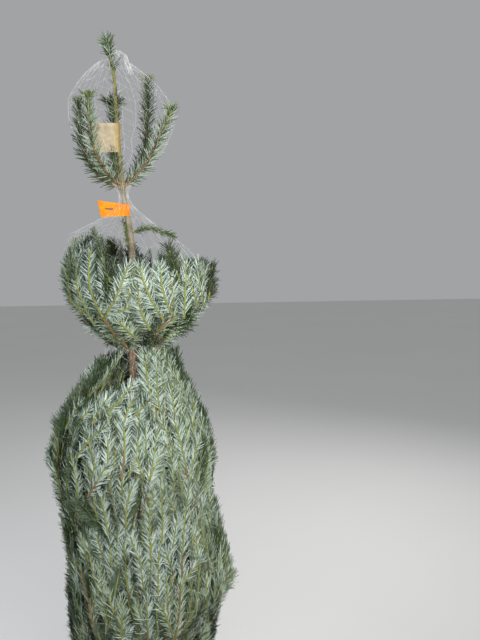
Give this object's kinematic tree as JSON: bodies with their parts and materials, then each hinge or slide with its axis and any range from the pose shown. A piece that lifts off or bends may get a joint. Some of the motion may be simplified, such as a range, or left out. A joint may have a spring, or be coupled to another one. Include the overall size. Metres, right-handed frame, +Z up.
{
  "type": "netted christmas tree in bucket stand",
  "caption": "Cut fir christmas tree still bundled in its transport net, boughs folded up round the stem, standing in a plain bucket stand with clamp screws.",
  "frame": {"origin": "centre of the bucket's flat underside", "axes": "+Z up along the trunk, -Y towards the side that the picture shows"},
  "size_m": [0.4425, 0.4153, 1.9728],
  "materials": {
    "trunk_bark": "rough bark",
    "bough_bark": "smooth young bark",
    "pale_needles": "satin needles",
    "dark_needles": "satin needles",
    "bucket_paint": "satin",
    "water": "gloss",
    "screw_steel": "satin"
  },
  "bodies": {
    "root": {"bough_crown_1": "bough_bark", "bough_crown_2": "bough_bark", "bough_crown_3": "bough_bark", "bough_crown_4": "bough_bark", "bough_crown_5": "bough_bark", "bough_cup_1": "bough_bark", "bough_cup_2": "bough_bark", "bough_cup_3": "bough_bark", "bough_cup_4": "bough_bark", "bough_cup_5": "bough_bark", "bough_cup_6": "bough_bark", "bough_lower_1": "bough_bark", "bough_lower_2": "bough_bark", "bough_lower_3": "bough_bark", "bough_lower_4": "bough_bark", "bough_lower_5": "bough_bark", "bough_lower_6": "bough_bark", "clamp_screw_1": "screw_steel", "clamp_screw_2": "screw_steel", "clamp_screw_3": "screw_steel", "foliage_crown_1": "dark_needles", "foliage_crown_2": "dark_needles", "foliage_crown_3": "dark_needles", "foliage_crown_4": "dark_needles", "foliage_crown_5": "dark_needles", "foliage_cup_1": "pale_needles", "foliage_cup_2": "pale_needles", "foliage_cup_3": "pale_needles", "foliage_cup_4": "pale_needles", "foliage_cup_5": "pale_needles", "foliage_cup_6": "pale_needles", "foliage_lower_1": "pale_needles", "foliage_lower_2": "pale_needles", "foliage_lower_3": "pale_needles", "foliage_lower_4": "pale_needles", "foliage_lower_5": "pale_needles", "foliage_lower_6": "pale_needles", "foliage_middle_1": "pale_needles", "foliage_middle_2": "pale_needles", "foliage_middle_3": "pale_needles", "foliage_middle_4": "pale_needles", "foliage_middle_5": "pale_needles", "foliage_middle_6": "pale_needles", "foliage_upper_1": "pale_needles", "foliage_upper_2": "pale_needles", "foliage_upper_3": "pale_needles", "foliage_upper_4": "pale_needles", "foliage_upper_5": "pale_needles", "foliage_upper_6": "pale_needles", "leader_tip": "dark_needles", "stand_bucket": "bucket_paint", "stand_water": "water", "stem_twig_left": "dark_needles", "stem_twig_right": "dark_needles", "trunk": "trunk_bark"}
  },
  "joints": []
}
